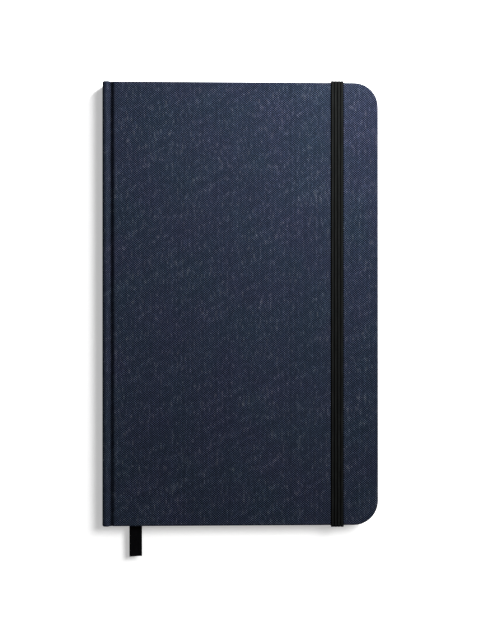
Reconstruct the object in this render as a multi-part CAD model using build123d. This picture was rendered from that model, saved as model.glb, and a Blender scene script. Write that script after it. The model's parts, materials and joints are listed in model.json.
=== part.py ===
from build123d import *
import os

# Case-bound pilot logbook, closed and lying on its back cover.
# +X runs from the spine to the fore-edge, +Y to the head, +Z up to the front cover.
# Everything is drawn with x = 0 on the spine's outer face, and moved so that the origin is
# the middle of the back cover's underside. All lengths are in mm.

os.makedirs("parts", exist_ok=True)

# whole book
COVER_WIDTH = 130.5
COVER_HEIGHT = 209.6
THICKNESS = 16.0
CORNER_RADIUS = 11.5
MIDDLE = THICKNESS / 2

# cover boards and the cloth glued round them
CLOTH = 0.35
BOARD = 1.9
TURN_IN = 13.0
EDGE_RADIUS = 0.4
COVER_INSIDE = CLOTH + BOARD

# spine and the pressed groove beside it
SPINE_HEIGHT = 210.1
SPINE_CORNER = 1.2
SPINE_BOARD = 1.0
SPINE_BOARD_HEIGHT = 209.2
SPINE_BOARD_CLEARANCE = 0.05
GROOVE_CENTRE = 4.8
GROOVE_HALF_WIDTH = 0.9
GROOVE_DEPTH = 1.75
BOARD_START = 6.1

# endpapers
PASTEDOWN = 0.15
FLYLEAF = 0.2
PASTEDOWN_MARGIN = 2.9
FLYLEAF_BASE = COVER_INSIDE + PASTEDOWN
BLOCK_BASE = FLYLEAF_BASE + FLYLEAF

# page block: twelve folded sections, with the bookmark between the sixth and the seventh
SECTIONS = 12
HALF = SECTIONS // 2
BLOCK_SPINE = 2.0
BLOCK_FORE_EDGE = 127.8
PAGE_HEIGHT = 204.2
PAGE_CORNER = 9.0
MIDDLE_GAP = 0.3
SECTION = (THICKNESS - 2 * BLOCK_BASE - MIDDLE_GAP) / SECTIONS

# spine linings, thread and headbands
LINER_START, LINER_END = 1.42, 1.58
MULL_START, MULL_END = 1.6, 1.75
LINING_HEIGHT = 190.0
THREAD_RADIUS = 0.11
THREAD_STATIONS = (-82.0, -50.0, -17.0, 17.0, 50.0, 82.0)
BAND_START, BAND_END = 1.76, 1.98
BAND_BEAD_RADIUS = 0.7
BAND_BEAD_X = 2.6
BAND_BEAD_Y = 102.9
BAND_TAB_LENGTH = 6.0

# ribbon bookmark
RIBBON_WIDTH = 6.0
RIBBON_THICKNESS = 0.25
RIBBON_HEAD_X = 5.6
RIBBON_HEAD_Y = 101.0
RIBBON_TAIL_X = 15.6
RIBBON_BEND_Y = -105.2
RIBBON_END_Y = -119.9
RIBBON_SLANT = 0.35

# elastic closure
ELASTIC_X = 111.5
ELASTIC_WIDTH = 6.0
ELASTIC_THICKNESS = 0.7
ELASTIC_CLEARANCE = 0.1
ELASTIC_INNER_RADIUS = 0.3
ELASTIC_UNDERSIDE = 0.06
ELASTIC_SIDE_LOW, ELASTIC_SIDE_HIGH = 1.3, 14.9
CHANNEL_DEPTH = 0.8
CHANNEL_WIDTH = 6.3
SLOT_WIDTH = 6.4
SLOT_INNER_Y, SLOT_OUTER_Y = 89.9, 90.9
TAB_END_Y = 80.0
TAB_CLEARANCE = 0.1


def block(x_low, x_high, y_low, y_high, z_low, z_high):
    """A box given by its limits."""
    size = (x_high - x_low, y_high - y_low, z_high - z_low)
    centre = ((x_low + x_high) / 2, (y_low + y_high) / 2, (z_low + z_high) / 2)
    return Location(centre) * Box(*size)


def rounded_plate(x_low, x_high, height, radius, z_low, z_high):
    """A plate whose two fore-edge corners are rounded."""
    plate = block(x_low, x_high, -height / 2, height / 2, z_low, z_high)
    corners = plate.edges().filter_by(Axis.Z).group_by(Axis.X)[-1]
    return fillet(corners, radius)


def along_y(face, half_length):
    """A face drawn in x and z, stretched both ways along y."""
    return extrude(face, half_length, both=True)


def flipped(shape):
    """The same piece on the front cover's side of the book."""
    return mirror(shape, Plane.XY.offset(MIDDLE))


def write(name, shape):
    """One STEP file for one node, with the origin moved to the middle of the cover."""
    shift = Location((-COVER_WIDTH / 2, 0, 0))
    solids = [shift * solid for solid in shape.solids()]
    whole = solids[0] if len(solids) == 1 else Compound(children=solids)
    export_step(whole, f"parts/{name}.step")


# ---- cloth over the spine, the shoulders and the grooves, as one bent sheet ----
past_groove = BOARD_START + 4
outer_points = [
    (past_groove, 0),
    (GROOVE_CENTRE + GROOVE_HALF_WIDTH, 0),
    (GROOVE_CENTRE, GROOVE_DEPTH),
    (GROOVE_CENTRE - GROOVE_HALF_WIDTH, 0),
    (0, 0),
    (0, THICKNESS),
    (GROOVE_CENTRE - GROOVE_HALF_WIDTH, THICKNESS),
    (GROOVE_CENTRE, THICKNESS - GROOVE_DEPTH),
    (GROOVE_CENTRE + GROOVE_HALF_WIDTH, THICKNESS),
    (past_groove, THICKNESS),
]
outside = Plane.XZ * make_face(Polyline(*outer_points, close=True))


def corners_at(face, x, z_offset):
    """The two corners of the profile at one x, one on each cover's side."""
    return [
        v
        for v in face.vertices()
        if abs(v.X - x) < 1e-6
        and min(abs(v.Z - z_offset), abs(v.Z - THICKNESS + z_offset)) < 1e-6
    ]


roundings = (
    (0, 0, SPINE_CORNER),
    (GROOVE_CENTRE - GROOVE_HALF_WIDTH, 0, 0.7),
    (GROOVE_CENTRE, GROOVE_DEPTH, 0.45),
    (GROOVE_CENTRE + GROOVE_HALF_WIDTH, 0, 0.45),
)
for x, z_offset, radius in roundings:
    outside = fillet(corners_at(outside, x, z_offset), radius)
inside = offset(outside, -CLOTH)
sheet = outside - inside
spine_sheet = along_y(sheet, SPINE_HEIGHT / 2)
groove_sheet = along_y(sheet, COVER_HEIGHT / 2)
reach = SPINE_HEIGHT
spine_span = block(-1, 1, -reach, reach, SPINE_CORNER, THICKNESS - SPINE_CORNER)
groove_low = block(GROOVE_CENTRE, BOARD_START, -reach, reach, -1, MIDDLE / 2)
shoulder_span = block(-1, GROOVE_CENTRE, -reach, reach, -1, MIDDLE / 2)
spine_side = block(-1, 1, -reach, reach, SPINE_CORNER, MIDDLE)
back_shoulder = (spine_sheet & shoulder_span) - spine_side
back_groove = groove_sheet & groove_low
spine_cloth = spine_sheet & spine_span

# ---- cover boards, thinner round three edges where the cloth turns in ----
board_edge = COVER_WIDTH - CLOTH
board_height = COVER_HEIGHT - 2 * CLOTH
board_base = rounded_plate(
    BOARD_START, board_edge, board_height, CORNER_RADIUS - CLOTH, CLOTH, BOARD
)
board_middle = block(
    BOARD_START,
    COVER_WIDTH - TURN_IN,
    TURN_IN - COVER_HEIGHT / 2,
    COVER_HEIGHT / 2 - TURN_IN,
    BOARD,
    COVER_INSIDE,
)
board = board_base + board_middle
plate = rounded_plate(
    BOARD_START, COVER_WIDTH, COVER_HEIGHT, CORNER_RADIUS, 0, COVER_INSIDE
)
rim = [
    e
    for e in plate.edges().group_by(Axis.Z)[0]
    if e.center().X > BOARD_START + EDGE_RADIUS
]
plate = fillet(rim, EDGE_RADIUS)

# ---- the elastic's channels, slots and glue pockets in the back board ----
board_channels = []
cloth_channels = []
slots = []
pockets = []
for side in (-1, 1):
    outer = side * (COVER_HEIGHT / 2 + 1)
    for depth, half_width, inner, cuts in (
        (CHANNEL_DEPTH + CLOTH, CHANNEL_WIDTH / 2 + CLOTH, SLOT_INNER_Y - CLOTH, board_channels),
        (CHANNEL_DEPTH, CHANNEL_WIDTH / 2, SLOT_INNER_Y, cloth_channels),
    ):
        y_low, y_high = sorted((side * inner, outer))
        cuts.append(
            block(ELASTIC_X - half_width, ELASTIC_X + half_width, y_low, y_high, -1, depth)
        )
    x_low, x_high = ELASTIC_X - SLOT_WIDTH / 2, ELASTIC_X + SLOT_WIDTH / 2
    y_low, y_high = sorted((side * SLOT_INNER_Y, side * SLOT_OUTER_Y))
    slots.append(block(x_low, x_high, y_low, y_high, -1, COVER_INSIDE + 1))
    y_low, y_high = sorted((side * (TAB_END_Y - TAB_CLEARANCE), side * SLOT_OUTER_Y))
    pocket_floor = COVER_INSIDE - ELASTIC_THICKNESS - TAB_CLEARANCE
    pockets.append(block(x_low, x_high, y_low, y_high, pocket_floor, COVER_INSIDE + 1))

back_board = board - board_channels
back_cloth_plate = plate - cloth_channels - back_board - slots - pockets
back_board = back_board - slots - pockets
back_cloth = back_cloth_plate + back_groove + back_shoulder
front_board = flipped(board)
front_cloth = flipped((plate - board) + back_groove)
front_joint_cloth = flipped(back_shoulder)

write("back_board", back_board)
write("back_cloth", back_cloth)
write("front_board", front_board)
write("front_cloth", front_cloth)
write("front_joint_cloth", front_joint_cloth)
write("spine_cloth", spine_cloth)

spine_board_low = SPINE_CORNER + SPINE_BOARD_CLEARANCE
spine_board = block(
    CLOTH,
    CLOTH + SPINE_BOARD,
    -SPINE_BOARD_HEIGHT / 2,
    SPINE_BOARD_HEIGHT / 2,
    spine_board_low,
    THICKNESS - spine_board_low,
)
write("spine_board", spine_board)

# ---- endpapers ----
pastedown = rounded_plate(
    BOARD_START,
    COVER_WIDTH - PASTEDOWN_MARGIN,
    COVER_HEIGHT - 2 * PASTEDOWN_MARGIN,
    PAGE_CORNER,
    COVER_INSIDE,
    FLYLEAF_BASE,
)
flyleaf = rounded_plate(
    BLOCK_SPINE, BLOCK_FORE_EDGE, PAGE_HEIGHT, PAGE_CORNER, FLYLEAF_BASE, BLOCK_BASE
)
write("back_pastedown", pastedown)
write("front_pastedown", flipped(pastedown))
write("back_flyleaf", flyleaf)
write("front_flyleaf", flipped(flyleaf))

# ---- page sections, each folded along the spine ----
page_outline = rounded_plate(
    BLOCK_SPINE, BLOCK_FORE_EDGE, PAGE_HEIGHT, PAGE_CORNER, 0, THICKNESS
)
fold = SECTION / 2
for number in range(1, SECTIONS + 1):
    from_back = SECTIONS - number
    base = BLOCK_BASE + from_back * SECTION
    if number <= HALF:
        base += MIDDLE_GAP
    top = base + SECTION
    profile = [
        Line((BLOCK_SPINE + fold, base), (BLOCK_FORE_EDGE, base)),
        Line((BLOCK_FORE_EDGE, base), (BLOCK_FORE_EDGE, top)),
        Line((BLOCK_FORE_EDGE, top), (BLOCK_SPINE + fold, top)),
        ThreePointArc(
            (BLOCK_SPINE + fold, top), (BLOCK_SPINE, base + fold), (BLOCK_SPINE + fold, base)
        ),
    ]
    section = along_y(Plane.XZ * make_face(profile), PAGE_HEIGHT / 2) & page_outline
    write(f"section_{number:02d}", section)

# ---- linings, sewing and headbands on the back of the page block ----
block_top = THICKNESS - BLOCK_BASE
half_lining = LINING_HEIGHT / 2
liner = block(LINER_START, LINER_END, -half_lining, half_lining, BLOCK_BASE, block_top)
mull = block(MULL_START, MULL_END, -half_lining, half_lining, BLOCK_BASE, block_top)
write("spine_liner", liner)
write("mull", mull)

thread_x = BLOCK_SPINE - THREAD_RADIUS
thread_length = block_top - BLOCK_BASE - SECTION
strands = [
    Location((thread_x, y, MIDDLE)) * Cylinder(THREAD_RADIUS, thread_length)
    for y in THREAD_STATIONS
]
write("sewing_thread", Compound(children=strands))

bead = Cylinder(BAND_BEAD_RADIUS, block_top - BLOCK_BASE)
for name, side in (("headband", 1), ("tailband", -1)):
    tab_low, tab_high = sorted((side * (BAND_BEAD_Y - BAND_TAB_LENGTH), side * BAND_BEAD_Y))
    tab = block(BAND_START, BAND_END, tab_low, tab_high, BLOCK_BASE, block_top)
    write(name, tab + Location((BAND_BEAD_X, side * BAND_BEAD_Y, MIDDLE)) * bead)

# ---- ribbon bookmark, with its free tail as a piece of its own so that it can bend ----
half_ribbon = RIBBON_WIDTH / 2
laid = Polyline(
    (RIBBON_HEAD_X - half_ribbon, RIBBON_HEAD_Y),
    (RIBBON_HEAD_X + half_ribbon, RIBBON_HEAD_Y),
    (RIBBON_TAIL_X + half_ribbon, RIBBON_BEND_Y),
    (RIBBON_TAIL_X - half_ribbon, RIBBON_BEND_Y),
    close=True,
)
tail = Polyline(
    (RIBBON_TAIL_X - half_ribbon, RIBBON_BEND_Y),
    (RIBBON_TAIL_X + half_ribbon, RIBBON_BEND_Y),
    (RIBBON_TAIL_X + half_ribbon, RIBBON_END_Y),
    (RIBBON_TAIL_X - half_ribbon, RIBBON_END_Y - RIBBON_SLANT),
    close=True,
)
ribbon_plane = Plane.XY.offset(MIDDLE)
for name, outline in (("bookmark_ribbon", laid), ("ribbon_tail", tail)):
    face = ribbon_plane * make_face(outline)
    write(name, extrude(face, RIBBON_THICKNESS / 2, both=True))

# ---- elastic closure: one loop, cut where it bends and moves ----
inner_y = COVER_HEIGHT / 2 + ELASTIC_CLEARANCE
outer_y = inner_y + ELASTIC_THICKNESS
inner_top = THICKNESS + ELASTIC_CLEARANCE / 2
outer_top = inner_top + ELASTIC_THICKNESS
inner_base = ELASTIC_UNDERSIDE + ELASTIC_THICKNESS
outer_radius = ELASTIC_INNER_RADIUS + ELASTIC_THICKNESS
half_elastic = ELASTIC_WIDTH / 2
elastic_low, elastic_high = ELASTIC_X - half_elastic, ELASTIC_X + half_elastic


def rounded_along_x(solid, radius):
    """A box with its four edges along x rounded."""
    return fillet(solid.edges().filter_by(Axis.X), radius)


loop_outside = block(
    elastic_low, elastic_high, -outer_y, outer_y, ELASTIC_UNDERSIDE, outer_top
)
loop_inside = block(
    elastic_low - 1, elastic_high + 1, -inner_y, inner_y, inner_base, inner_top
)
loop = rounded_along_x(loop_outside, outer_radius) - rounded_along_x(
    loop_inside, ELASTIC_INNER_RADIUS
)
elastic_front = loop & block(0, COVER_WIDTH, -reach, reach, ELASTIC_SIDE_HIGH, THICKNESS + 2)
write("elastic_front", elastic_front)
for name, side in (("head", 1), ("tail", -1)):
    near, far = sorted((0, side * reach))
    run = loop & block(0, COVER_WIDTH, near, far, ELASTIC_SIDE_LOW, ELASTIC_SIDE_HIGH)
    write(f"elastic_{name}", run)
    leg_inner = SLOT_INNER_Y + TAB_CLEARANCE
    leg_outer = leg_inner + ELASTIC_THICKNESS
    near, far = sorted((side * leg_inner, side * reach))
    under = loop & block(0, COVER_WIDTH, near, far, -1, ELASTIC_SIDE_LOW)
    tab_top = COVER_INSIDE
    near, far = sorted((side * leg_inner, side * leg_outer))
    leg = block(elastic_low, elastic_high, near, far, ELASTIC_UNDERSIDE, tab_top)
    near, far = sorted((side * TAB_END_Y, side * leg_outer))
    tab = block(elastic_low, elastic_high, near, far, tab_top - ELASTIC_THICKNESS, tab_top)
    write(f"elastic_anchor_{name}", under + leg + tab)
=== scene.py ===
import json
import math
import random

import bmesh
import bpy
from mathutils import Matrix, Vector


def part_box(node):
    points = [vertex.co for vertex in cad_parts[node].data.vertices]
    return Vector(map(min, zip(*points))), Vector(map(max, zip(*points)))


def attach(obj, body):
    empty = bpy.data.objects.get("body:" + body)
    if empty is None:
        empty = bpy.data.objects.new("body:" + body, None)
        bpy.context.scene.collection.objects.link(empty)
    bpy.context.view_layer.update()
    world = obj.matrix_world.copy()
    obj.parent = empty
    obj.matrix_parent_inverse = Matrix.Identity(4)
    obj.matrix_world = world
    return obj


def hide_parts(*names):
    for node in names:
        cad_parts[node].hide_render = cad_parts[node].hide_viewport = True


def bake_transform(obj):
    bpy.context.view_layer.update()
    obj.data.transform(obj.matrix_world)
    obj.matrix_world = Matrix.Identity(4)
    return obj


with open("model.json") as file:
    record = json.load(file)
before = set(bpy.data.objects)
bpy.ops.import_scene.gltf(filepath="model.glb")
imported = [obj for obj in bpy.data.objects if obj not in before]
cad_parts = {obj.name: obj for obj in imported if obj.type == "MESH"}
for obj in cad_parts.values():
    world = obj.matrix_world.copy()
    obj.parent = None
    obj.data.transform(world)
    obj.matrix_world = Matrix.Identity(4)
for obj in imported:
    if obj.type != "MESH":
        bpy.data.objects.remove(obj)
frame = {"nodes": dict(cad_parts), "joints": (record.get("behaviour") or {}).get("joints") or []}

# Looks of the cloth-bound logbook. Lengths are in metres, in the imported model's frame.
MM = 0.001
random.seed(7)
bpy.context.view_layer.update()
UV_NAME = "cut"
WELD = 1e-7
JOINTS = {joint["name"]: joint for joint in frame["joints"]}

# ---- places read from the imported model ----
SPINE_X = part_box("spine_cloth")[0].x
FORE_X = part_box("front_cloth")[1].x
BOARD_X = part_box("front_board")[0].x
COVER_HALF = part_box("front_cloth")[1].y
SPINE_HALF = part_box("spine_cloth")[1].y
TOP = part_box("front_cloth")[1].z
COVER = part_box("back_cloth")[1].z
GROOVE_X = JOINTS["front_cover_open"]["pos_m"][0]
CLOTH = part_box("back_board")[0].z

# ---- shape of the cloth ----
CORNER = 11.5 * MM
EDGE = 0.8 * MM
TURN_IN = 10.0 * MM
WRAP_FLAT = 3.0 * MM
WRAP_SUPPORT = 1.2 * MM
GROOVE_DEPTH = 1.7 * MM
GROOVE_FALL, GROOVE_RISE = 1.6 * MM, 1.0 * MM
DEEPEST_X = GROOVE_X - 0.75 * MM
RIDGE_RADIUS = 1.9 * MM
RIDGE_SAG = 0.12 * MM
SAG_WIDTH = 1.5 * MM
SPINE_BOARD = 1.0 * MM
BUILD_UP, BUILD_UP_START = 0.9 * MM, 0.95 * MM
NARROWING = 2.0 * MM
SEAM_X = SPINE_X + 2.7 * MM
JOIN_X = BOARD_X + 1.2 * MM
PATH_STEPS, RIDGE_STEPS, SPINE_STEPS = 44, 10, 4
FLAT_ROWS = 24
ARC_STEPS = 5
CORNER_STEPS = 12

# ---- paper ----
SECTIONS = 12
SHEETS = 4
PAPER = 0.092 * MM
TRIM = 0.14 * MM
PAGE_CORNER = 9.0 * MM
PAGE_CORNER_STEPS = 10
FOLD_STEPS = 6
HINGE_START = 2.8 * MM
HINGE_FROM_BOARD = 2.0 * MM
HINGE_STEPS = 20

# ---- headbands ----
BEAD_RADIUS = 0.7 * MM
BEAD_SIDES = 16
BEAD_WAIST = 0.86
WRAP_PITCH = 0.4 * MM
WRAP_STEPS = 6
TAB_LENGTH, TAB_THICK = 6.0 * MM, 0.2 * MM

# ---- elastic ----
RIBS = 4
RIB_STEPS = 10
RIB_VALLEY = 0.5
# Width of the painted shade and shadow along each edge of the elastic.
SELVEDGE_SHADE_WIDTH = 0.42 * MM
ELASTIC_LOW, ELASTIC_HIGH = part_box("elastic_front")
ELASTIC_X = (ELASTIC_LOW.x + ELASTIC_HIGH.x) / 2
ELASTIC_WIDTH = ELASTIC_HIGH.x - ELASTIC_LOW.x
ELASTIC_THICK = 0.7 * MM
ELASTIC_BEND = 0.65 * MM
ELASTIC_LEAN = 0.5 * MM
FRONT_Z = ELASTIC_HIGH.z - ELASTIC_THICK / 2
SIDE_Y = ELASTIC_HIGH.y - ELASTIC_THICK / 2
SETTLE_GAP = 0.05 * MM
SETTLED = JOINTS["elastic_sides_settle"]["range_m"][1]
SETTLED_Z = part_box("elastic_head")[0].z + SETTLED + SETTLE_GAP
SIDE_STEPS, FRONT_STEPS, BEND_STEPS = 24, 12, 8
CHANNEL_STEPS, LEG_STEPS, TAB_STEPS = 4, 6, 2
CHANNEL_WIDTH = 6.3 * MM
CHANNEL_DEPTH = 0.8 * MM
SLOT_WIDTH = 6.4 * MM
SLOT_INNER_Y, SLOT_OUTER_Y = 89.9 * MM, 90.9 * MM
LEG_INSET = 0.45 * MM
CUT_PAST = 1.0 * MM
TRAY_LIFT = 0.02 * MM

# ---- ribbon ----
RIBBON_WIDTH = 6.0 * MM
RIBBON_COLUMNS = 8
RIBBON_SLANT = 0.35 * MM
RIBBON_DROOP = 0.5 * MM
RIBBON_CURL = 0.12 * MM
RIBBON_STEPS = 120

# ---- camera and light ----
SENSOR = 36.0
DISTANCE = 0.78
CLIP_START = 0.01
VISIBLE_HEIGHT = 302.2 * MM
AIM_X, AIM_Y = -0.35 * MM, -7.63 * MM
TILT = 2.5
AMBIENT = 0.12
TABLE_GLOW = 0.41
TABLE_HALF, TABLE_DROP = 3.0, 0.1 * MM
TABLE_COLOR = (0.86, 0.86, 0.86)
TABLE_GRAIN = 800.0
TABLE_TONES = (0.97, 1.0)
KEY_PLACE = (0.41, 0.29, 1.25)
KEY_SIZE = 0.44
KEY_POWER = 13.6
HEAD_PLACE = (0.13, 0.20, 0.17)
HEAD_AIM = (0.04, 0.08, 0.0)
HEAD_SIZE = 0.12
HEAD_POWER = 2.42


# ---------------------------------------------------------------- mesh helpers
def make_piece(name, points, faces, uvs, material, crease=40):
    """A closed mesh with one UV pair, in metres, for each point. Edges that turn more than
    crease degrees stay sharp."""
    mesh = bpy.data.meshes.new(name)
    mesh.from_pydata([tuple(p) for p in points], [], faces)
    layer = mesh.uv_layers.new(name=UV_NAME)
    for loop in mesh.loops:
        layer.data[loop.index].uv = uvs[loop.vertex_index]
    solid = bmesh.new()
    solid.from_mesh(mesh)
    bmesh.ops.remove_doubles(solid, verts=solid.verts, dist=WELD)
    bmesh.ops.recalc_face_normals(solid, faces=solid.faces)
    solid.to_mesh(mesh)
    solid.free()
    mesh.materials.append(material)
    mesh.shade_smooth()
    mesh.set_sharp_from_angle(angle=math.radians(crease))
    piece = bpy.data.objects.new(name, mesh)
    bpy.context.scene.collection.objects.link(piece)
    return piece


def loft(rings):
    """Faces of a closed tube through rings of equal size, numbered one after another."""
    count = len(rings[0])
    faces = [list(range(count)), list(range((len(rings) - 1) * count, len(rings) * count))]
    for ring in range(len(rings) - 1):
        for i in range(count):
            j = (i + 1) % count
            low, high = ring * count, (ring + 1) * count
            faces.append([low + i, high + i, high + j, low + j])
    return faces


def lofted_piece(name, rings, material, crease=40):
    """A closed tube through rings of (point, uv)."""
    points = [point for ring in rings for point, _ in ring]
    uvs = [uv for ring in rings for _, uv in ring]
    return make_piece(name, points, loft(rings), uvs, material, crease)


def arc(centre_a, centre_b, radius, first, last, steps):
    """Points of an arc, from angle first to angle last in degrees."""
    angles = [math.radians(first + (last - first) * i / steps) for i in range(steps + 1)]
    return [(centre_a + radius * math.cos(t), centre_b + radius * math.sin(t)) for t in angles]


def steps_between(first, last, count):
    """Points on a straight line, without its first one."""
    (a, b), (c, d) = first, last
    return [(a + (c - a) * i / count, b + (d - b) * i / count) for i in range(1, count + 1)]


def smooth_step(t):
    t = min(max(t, 0.0), 1.0)
    return t * t * (3 - 2 * t)


def box_piece(name, low, high):
    """A closed box between two corners."""
    xs, ys, zs = zip(low, high)
    points = [(x, y, z) for x in xs for y in ys for z in zs]
    faces = [(0, 1, 3, 2), (4, 6, 7, 5), (0, 4, 5, 1), (2, 3, 7, 6), (0, 2, 6, 4), (1, 5, 7, 3)]
    mesh = bpy.data.meshes.new(name)
    mesh.from_pydata(points, [], faces)
    layer = mesh.uv_layers.new(name=UV_NAME)
    for loop in mesh.loops:
        x, y, z = points[loop.vertex_index]
        layer.data[loop.index].uv = (x + z, y + z)
    piece = bpy.data.objects.new(name, mesh)
    bpy.context.scene.collection.objects.link(piece)
    return piece


def carve(piece, cutters):
    """Cuts boxes out of a piece, and removes the boxes."""
    for cutter in cutters:
        modifier = piece.modifiers.new("carve", "BOOLEAN")
        modifier.operation = "DIFFERENCE"
        modifier.solver = "EXACT"
        modifier.object = cutter
    graph = bpy.context.evaluated_depsgraph_get()
    carved = bpy.data.meshes.new_from_object(piece.evaluated_get(graph))
    piece.modifiers.clear()
    piece.data = carved
    for cutter in cutters:
        bpy.data.objects.remove(cutter)


# ---------------------------------------------------------------- node helpers
class Graph:
    """A short way to write a material's nodes."""

    def __init__(self, name):
        self.material = bpy.data.materials.new(name)
        self.material.use_nodes = True
        self.tree = self.material.node_tree
        self.shader = self.tree.nodes["Principled BSDF"]

    def link(self, value, socket):
        if isinstance(value, bpy.types.NodeSocket):
            self.tree.links.new(value, socket)
        else:
            socket.default_value = value

    def math(self, operation, a, b=0.0, c=0.0):
        node = self.tree.nodes.new("ShaderNodeMath")
        node.operation = operation
        for value, socket in zip((a, b, c), node.inputs):
            self.link(value, socket)
        return node.outputs[0]

    def mix(self, factor, a, b, blend="MIX"):
        node = self.tree.nodes.new("ShaderNodeMix")
        node.data_type = "RGBA"
        node.blend_type = blend
        self.link(factor, node.inputs[0])
        for value, socket in ((a, node.inputs[6]), (b, node.inputs[7])):
            self.link((*value, 1.0) if isinstance(value, tuple) else value, socket)
        return node.outputs[2]

    def shade(self, color, light):
        """A colour made lighter or darker by one grey factor."""
        return self.mix(1.0, color, self.vector(light, light, light), "MULTIPLY")

    def uv(self):
        node = self.tree.nodes.new("ShaderNodeUVMap")
        node.uv_map = UV_NAME
        split = self.tree.nodes.new("ShaderNodeSeparateXYZ")
        self.tree.links.new(node.outputs[0], split.inputs[0])
        return split.outputs[0], split.outputs[1]

    def place(self):
        node = self.tree.nodes.new("ShaderNodeTexCoord")
        split = self.tree.nodes.new("ShaderNodeSeparateXYZ")
        self.tree.links.new(node.outputs["Object"], split.inputs[0])
        return tuple(split.outputs)

    def vector(self, x, y, z=0.0):
        node = self.tree.nodes.new("ShaderNodeCombineXYZ")
        for value, socket in zip((x, y, z), node.inputs):
            self.link(value, socket)
        return node.outputs[0]

    def noise(self, vector, scale, detail=2.0, roughness=0.5):
        node = self.tree.nodes.new("ShaderNodeTexNoise")
        self.link(vector, node.inputs["Vector"])
        node.inputs["Scale"].default_value = scale
        node.inputs["Detail"].default_value = detail
        node.inputs["Roughness"].default_value = roughness
        return node.outputs["Fac"]

    def cell(self, vector):
        """One random value for each whole-numbered cell."""
        node = self.tree.nodes.new("ShaderNodeTexWhiteNoise")
        node.noise_dimensions = "3D"
        self.link(vector, node.inputs["Vector"])
        return node.outputs["Value"]

    def spread(self, value, low, high, to_low=0.0, to_high=1.0):
        node = self.tree.nodes.new("ShaderNodeMapRange")
        for item, socket in zip((value, low, high, to_low, to_high), node.inputs):
            self.link(item, socket)
        return node.outputs[0]

    def bump(self, height, distance, strength=1.0):
        node = self.tree.nodes.new("ShaderNodeBump")
        node.inputs["Distance"].default_value = distance
        node.inputs["Strength"].default_value = strength
        self.link(height, node.inputs["Height"])
        self.tree.links.new(node.outputs[0], self.shader.inputs["Normal"])

    def finish(self, color, roughness, specular):
        self.link(color, self.shader.inputs["Base Color"])
        self.link(roughness, self.shader.inputs["Roughness"])
        self.shader.inputs["Specular IOR Level"].default_value = specular
        return self.material


# ---------------------------------------------------------------- book cloth
WARP_PITCH, WEFT_PITCH = 0.6015 * MM, 0.5166 * MM
WEFT_LEAN = 0.056
SWAY, SWAY_SCALE = 0.35, 45.0
CROWN_SHORT, CROWN_LONG = 8.0, 2.6
# How much lighter the warp is painted on its crown than towards its sides: painted shade of the
# threads' relief.
CROWN_SHADE_GAIN = 2.72
WARP = (0.0205, 0.0266, 0.0458)
BARE_WARP = (0.0285, 0.0297, 0.0389)
WEFT = (0.0007, 0.0010, 0.0022)
WARP_TONES, WEFT_TONES = (0.92, 1.08), (0.7, 1.3)
SLUB_RANGE = (0.5, 0.8)
WARP_SLUB, WEFT_SLUB = 0.24, 0.9
WARP_SLUB_SCALE, WEFT_SLUB_SCALE = 90.0, 120.0
FLECK_POWER = 3.0
FLECK_TONES = (0.88, 1.3)
STREAK = 3.4 * MM
STREAK_LEAN = 0.52
STREAK_SCALE = 40.0
STREAK_TONES = (0.95, 1.05)
RUN_SCALE = 330.0
RUN_IN_STREAKS, RUN_IN_WEFT = 0.26, 0.14
RUN_RANGE = (0.66, 0.90)
RUN_TONES = (0.94, 1.85)
CAST_SCALE = 42.0
CAST_RANGE = (0.36, 0.64)
PURPLE_CAST, TEAL_CAST = (1.055, 0.995, 1.045), (0.93, 1.035, 0.99)
CLOUD_SCALE = 22.0
CLOUD_TONES = (0.975, 1.025)
OVER_HEIGHT, SLUB_HEIGHT = 0.45, 0.8

# Most of a noise's values lie in this range.
MOST = (0.3, 0.7)
# Steps in the noise from one thread to the next, so that neighbours differ.
WARP_JUMP, WEFT_JUMP, RUN_JUMP = 7.31, 5.17, 3.77
WARP_SEED, WEFT_SEED, FLECK_SEED, RUN_SEED, CLOUD_SEED = 3.0, 8.0, 1.0, 4.0, 5.0


def weave(g, u, v):
    """Where a point lies, counted in threads across and along the cloth, with a little sway."""
    sway = g.math("SUBTRACT", g.noise(g.vector(u, v), SWAY_SCALE, detail=1.0), 0.5)
    across = g.math("ADD", g.math("DIVIDE", u, WARP_PITCH), g.math("MULTIPLY", sway, SWAY))
    leant = g.math("ADD", v, g.math("MULTIPLY", u, WEFT_LEAN))
    along = g.math("ADD", g.math("DIVIDE", leant, WEFT_PITCH), g.math("MULTIPLY", sway, -SWAY))
    return across, along


def thread_crown(g, across, along):
    """How high a thread stands in each cell of the weave: a crown slanted by the yarn's twist. It
    serves as the bump's height and as the painted shade on each warp thread's sides.
    """
    a = g.math("SUBTRACT", g.math("FRACT", across), 0.5)
    b = g.math("SUBTRACT", g.math("FRACT", along), 0.5)
    short = g.math("MULTIPLY", g.math("POWER", g.math("ADD", a, b), 2.0), CROWN_SHORT)
    long = g.math("MULTIPLY", g.math("POWER", g.math("SUBTRACT", a, b), 2.0), CROWN_LONG)
    return g.math("EXPONENT", g.math("MULTIPLY", g.math("ADD", short, long), -1.0))


def streaks(g, u, v):
    """Long faint streaks that rise to the right."""
    rise = g.math("SUBTRACT", v, g.math("MULTIPLY", u, STREAK_LEAN))
    place = g.vector(g.math("DIVIDE", rise, STREAK), g.math("MULTIPLY", u, STREAK_SCALE))
    return g.noise(place, 1.0, detail=1.0)


def bare_runs(g, warp, v, streak):
    """Short pale runs along single warp threads, gathered in the streaks."""
    place = g.vector(g.math("MULTIPLY", warp, RUN_JUMP), g.math("MULTIPLY", v, RUN_SCALE), RUN_SEED)
    run = g.noise(place, 1.0, detail=1.0)
    run = g.math("ADD", run, g.math("MULTIPLY", streak, RUN_IN_STREAKS))
    return g.spread(run, *RUN_RANGE)


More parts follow.
